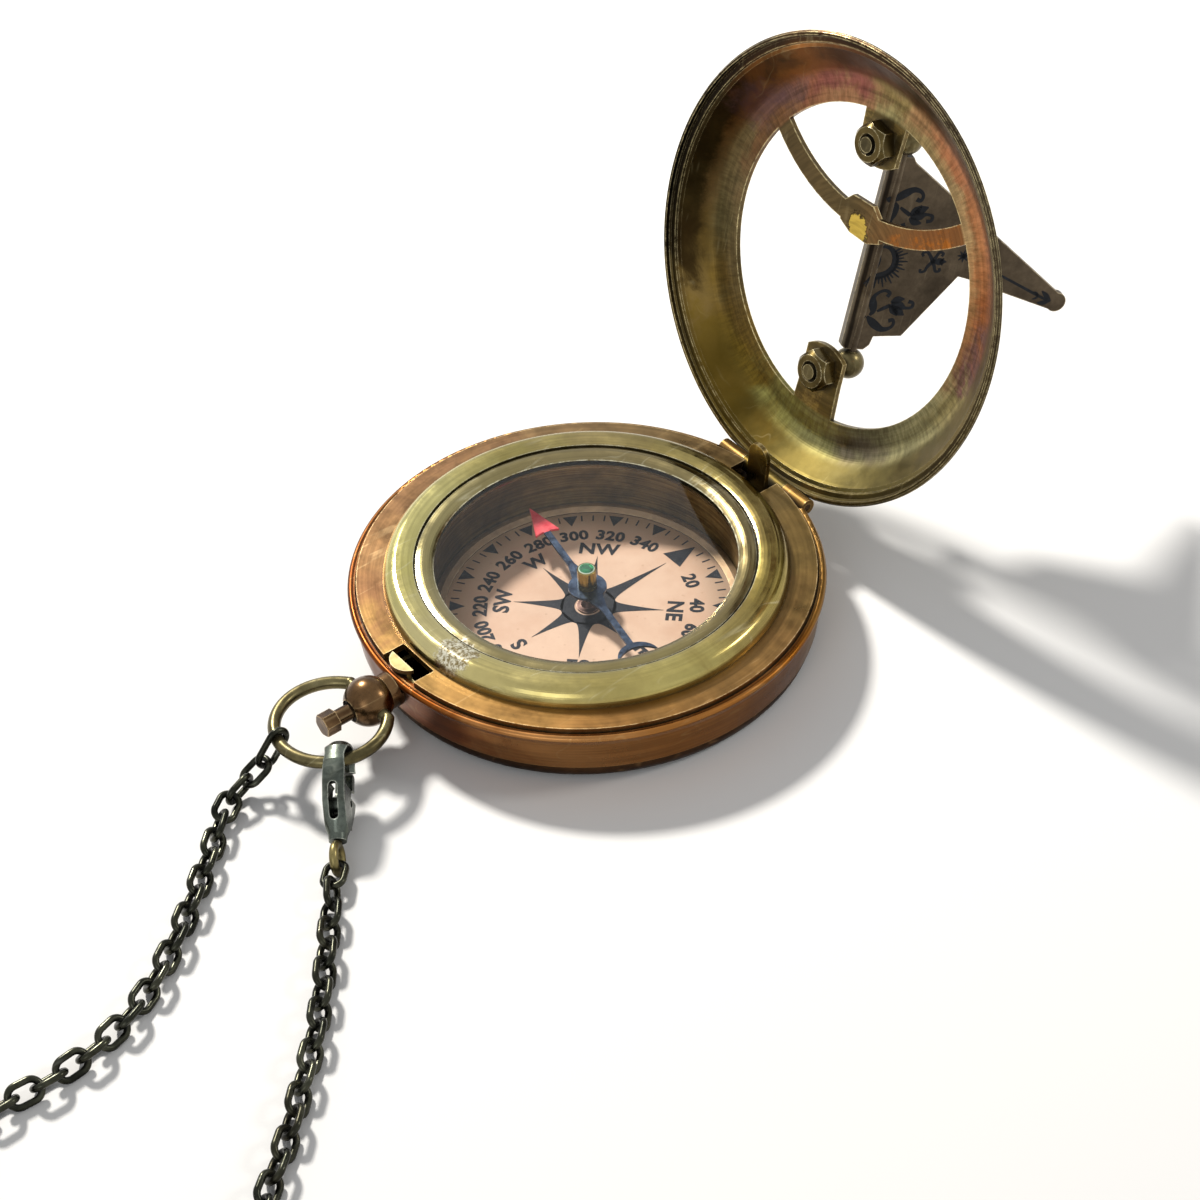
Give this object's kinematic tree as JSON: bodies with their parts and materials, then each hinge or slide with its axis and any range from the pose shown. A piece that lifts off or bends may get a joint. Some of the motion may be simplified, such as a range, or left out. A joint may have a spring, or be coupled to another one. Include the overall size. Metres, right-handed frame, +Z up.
{
  "type": "sundial compass",
  "caption": "Round pocket case with a push button: compass under glass, hinged ring lid with a folding sundial gnomon, and a wire bow with a link chain and lobster clasp.",
  "frame": {"origin": "centre of the case's flat back", "axes": "+Z up through the dial, +Y to the lid hinge, -Y to the pendant, the bow and the chain, +X to the dial's east"},
  "size_m": [0.1092, 0.2341, 0.0819],
  "materials": {
    "back_cover": "darkened brass",
    "case_band": "aged brass with an orange tone",
    "ledge_ring": "copper-toned antique brass",
    "bezel": "polished yellow brass",
    "glass": "clear flat glass",
    "glass_ring": "aged brass",
    "compass_well": "brushed brass",
    "dial_plate": "printed dial, peach with dark print",
    "dial_ring": "brown brass",
    "pivot_base": "turned brass",
    "pivot_pin": "ground steel",
    "needle": "blued steel with a red point",
    "needle_cap": "turned brass",
    "needle_jewel": "green stone",
    "lift_spring": "bronze-toned spring steel",
    "lift_spring_screw": "steel",
    "catch_spring": "polished brass nib",
    "catch_spring_screw": "steel",
    "hinge_pin": "aged brass",
    "lid": "antique brass with heat tints",
    "gnomon": "grey-brown antique brass",
    "gnomon_post_north": "grey-green antique brass",
    "gnomon_post_south": "grey-green antique brass",
    "post_nuts": "golden brass",
    "pendant_ball": "dark bronze-toned brass",
    "pendant_bush": "dark brass",
    "push_button": "dark brass",
    "button_spring": "spring steel",
    "bow_ring": "aged brass wire",
    "end_link": "gunmetal",
    "clasp_body": "worn gunmetal",
    "clasp_lever": "worn gunmetal",
    "clasp_pin": "steel",
    "clasp_eye": "aged brass wire",
    "chain_links": "gunmetal"
  },
  "bodies": {
    "case": {"case_band": "case_band", "back_cover": "back_cover", "ledge_ring": "ledge_ring", "bezel": "bezel", "glass": "glass", "glass_ring": "glass_ring", "compass_well": "compass_well", "dial_plate": "dial_plate", "dial_ring": "dial_ring", "pivot_base": "pivot_base", "pivot_pin": "pivot_pin", "lift_spring_screw": "lift_spring_screw", "catch_spring_screw": "catch_spring_screw", "hinge_pin": "hinge_pin", "pendant_ball": "pendant_ball", "pendant_bush": "pendant_bush", "button_spring": "button_spring"},
    "lid_body": {"lid": "lid", "gnomon_post_north": "gnomon_post_north", "gnomon_post_south": "gnomon_post_south", "post_nuts": "post_nuts"},
    "gnomon_body": {"gnomon": "gnomon"},
    "needle_body": {"needle": "needle", "needle_cap": "needle_cap", "needle_jewel": "needle_jewel"},
    "lift_spring_body": {"lift_spring": "lift_spring"},
    "catch_body": {"catch_spring": "catch_spring"},
    "button_body": {"push_button": "push_button"},
    "bow_body": {"bow_ring": "bow_ring", "end_link": "end_link", "clasp_body": "clasp_body", "clasp_pin": "clasp_pin", "clasp_eye": "clasp_eye", "chain_links": "chain_links"},
    "clasp_lever_body": {"clasp_lever": "clasp_lever"}
  },
  "joints": [
    {"name": "lid_hinge", "type": "hinge", "parent": "case", "child": "lid_body", "pos_m": [0, 0.0373, 0.0095], "axis": [1, 0, 0], "range_deg": [0, 106]},
    {"name": "gnomon_hinge", "type": "hinge", "parent": "lid_body", "child": "gnomon_body", "pos_m": [0, 0.06061, 0.04328], "axis": [0, 0.2756, 0.9613], "range_deg": [-62, 112]},
    {"name": "needle_turn", "type": "hinge", "parent": "case", "child": "needle_body", "pos_m": [0, 0, 0.0065], "axis": [0, 0, 1], "continuous": true},
    {"name": "lift_spring_bend", "type": "hinge", "parent": "case", "child": "lift_spring_body", "pos_m": [0.02827, 0.01259, 0.0023], "axis": [0, -1, 0], "range_deg": [0, 13.21]},
    {"name": "button_slide", "type": "slide", "parent": "case", "child": "button_body", "axis": [0, 1, 0], "range_m": [0, 0.0016], "stiffness_N_per_m": 400, "springref_m": -0.001},
    {"name": "catch_slide", "type": "slide", "parent": "case", "child": "catch_body", "axis": [0, 1, 0], "range_m": [0, 0.0016]},
    {"name": "bow_hinge", "type": "hinge", "parent": "case", "child": "bow_body", "pos_m": [0, -0.0422, 0.0077], "axis": [-1, 0, 0], "range_deg": [0, 110]},
    {"name": "clasp_lever_hinge", "type": "hinge", "parent": "bow_body", "child": "clasp_lever_body", "pos_m": [0.01273, -0.05642, 0.00458], "axis": [0.6489, 0.7434, 0.1621], "range_deg": [0, 12], "stiffness_Nm_per_rad": 0.002, "springref_deg": -17.19}
  ],
  "couplings": [
    {"joint": "lift_spring_bend", "follows": "lid_hinge", "ratio": 0.1246},
    {"joint": "catch_slide", "follows": "button_slide", "ratio": 1}
  ]
}
